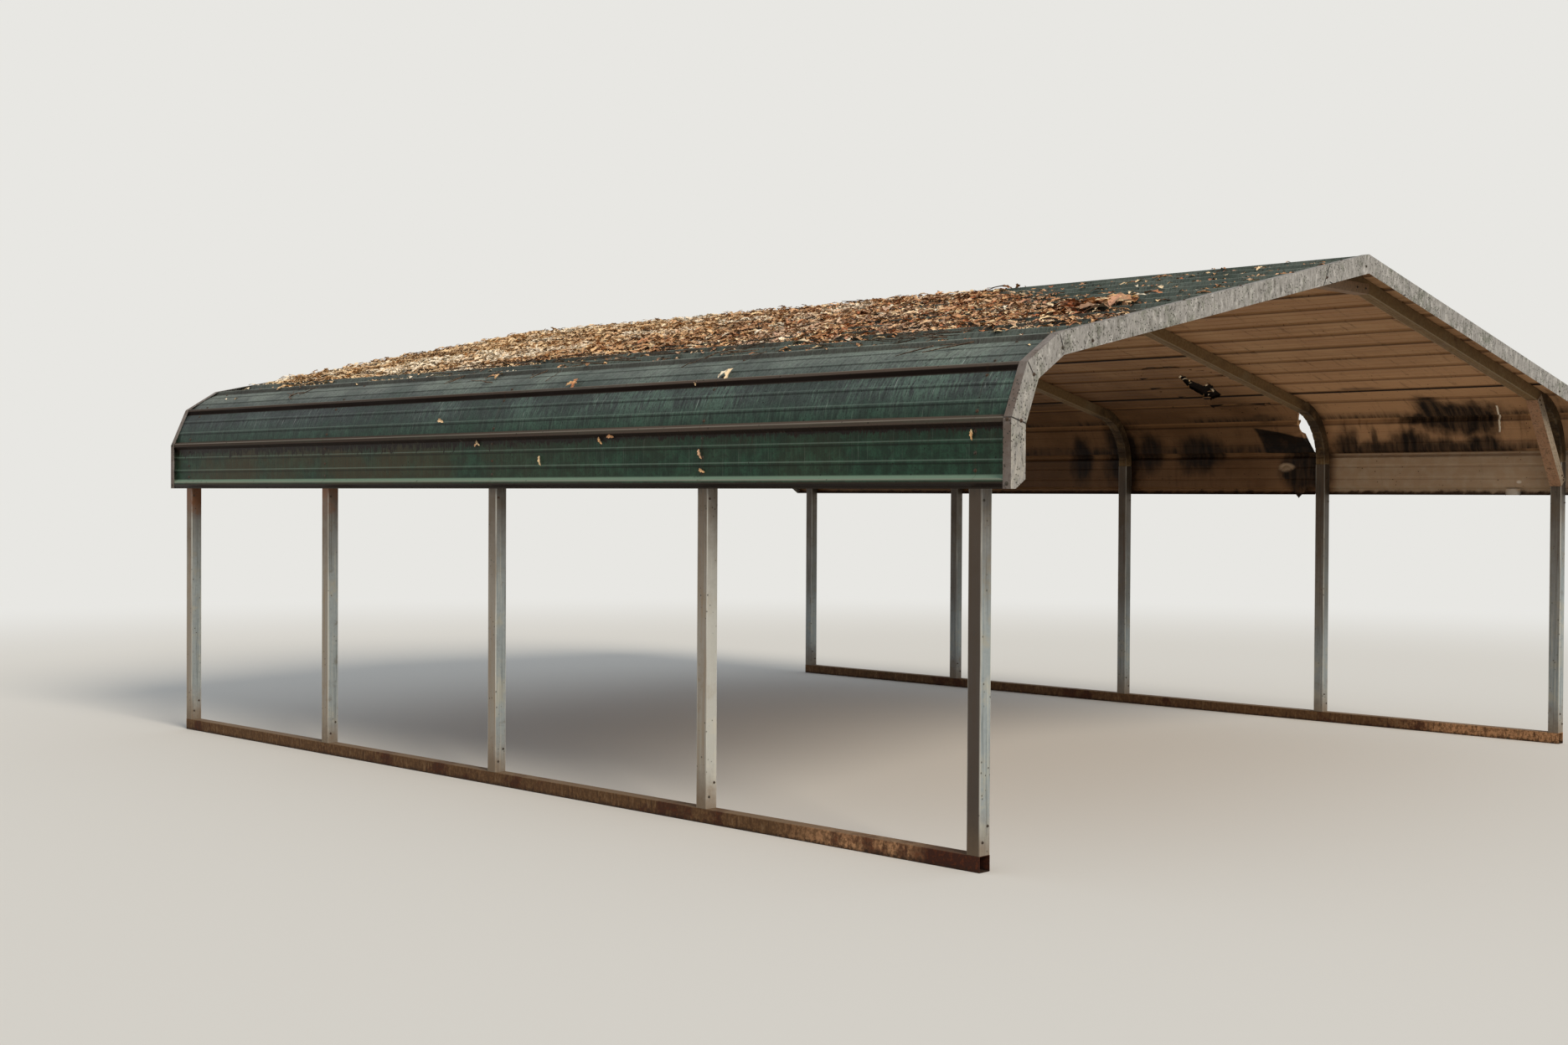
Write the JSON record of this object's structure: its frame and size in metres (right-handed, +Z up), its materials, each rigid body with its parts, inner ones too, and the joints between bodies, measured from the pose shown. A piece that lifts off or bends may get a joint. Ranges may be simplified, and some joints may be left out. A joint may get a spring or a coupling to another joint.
{
  "type": "metal carport",
  "caption": "Open carport of square steel tube: base rails, posts and bent bows carry lengthwise ribbed roof sheets that curve down at the eaves, with angle trim on both gable ends.",
  "frame": {"origin": "on the ground, at the centre of the carport's plan", "axes": "+X to the right seen from the front gable, +Y to the rear gable along the rails, +Z up"},
  "size_m": [5.53, 6.4072, 2.5904],
  "materials": {
    "base_rail_steel": "rusty galvanised tube, dirty where it lies on the ground",
    "post_steel": "weathered galvanised tube",
    "bow_steel": "weathered galvanised tube with a brown film",
    "brace_steel": "weathered galvanised channel",
    "painted_sheet": "weathered dark green paint outside, pale brown primer inside",
    "trim_steel": "mottled weathered galvanised angle"
  },
  "bodies": {
    "root": {"base_rail_left": "base_rail_steel", "post_left_1": "post_steel", "bow_left_1": "bow_steel", "post_left_2": "post_steel", "bow_left_2": "bow_steel", "post_left_3": "post_steel", "bow_left_3": "bow_steel", "post_left_4": "post_steel", "bow_left_4": "bow_steel", "post_left_5": "post_steel", "bow_left_5": "bow_steel", "base_rail_right": "base_rail_steel", "post_right_1": "post_steel", "bow_right_1": "bow_steel", "post_right_2": "post_steel", "bow_right_2": "bow_steel", "post_right_3": "post_steel", "bow_right_3": "bow_steel", "post_right_4": "post_steel", "bow_right_4": "bow_steel", "post_right_5": "post_steel", "bow_right_5": "bow_steel", "peak_brace_1": "brace_steel", "peak_brace_2": "brace_steel", "peak_brace_3": "brace_steel", "peak_brace_4": "brace_steel", "peak_brace_5": "brace_steel", "knee_brace_front_left": "brace_steel", "knee_brace_front_right": "brace_steel", "knee_brace_rear_left": "brace_steel", "knee_brace_rear_right": "brace_steel", "roof_sheet_left_1": "painted_sheet", "roof_sheet_left_2": "painted_sheet", "roof_sheet_left_3": "painted_sheet", "roof_sheet_right_1": "painted_sheet", "roof_sheet_right_2": "painted_sheet", "roof_sheet_right_3": "painted_sheet", "roof_sheet_ridge": "painted_sheet", "trim_front_left": "trim_steel", "trim_front_right": "trim_steel", "trim_rear_left": "trim_steel", "trim_rear_right": "trim_steel"}
  },
  "joints": []
}
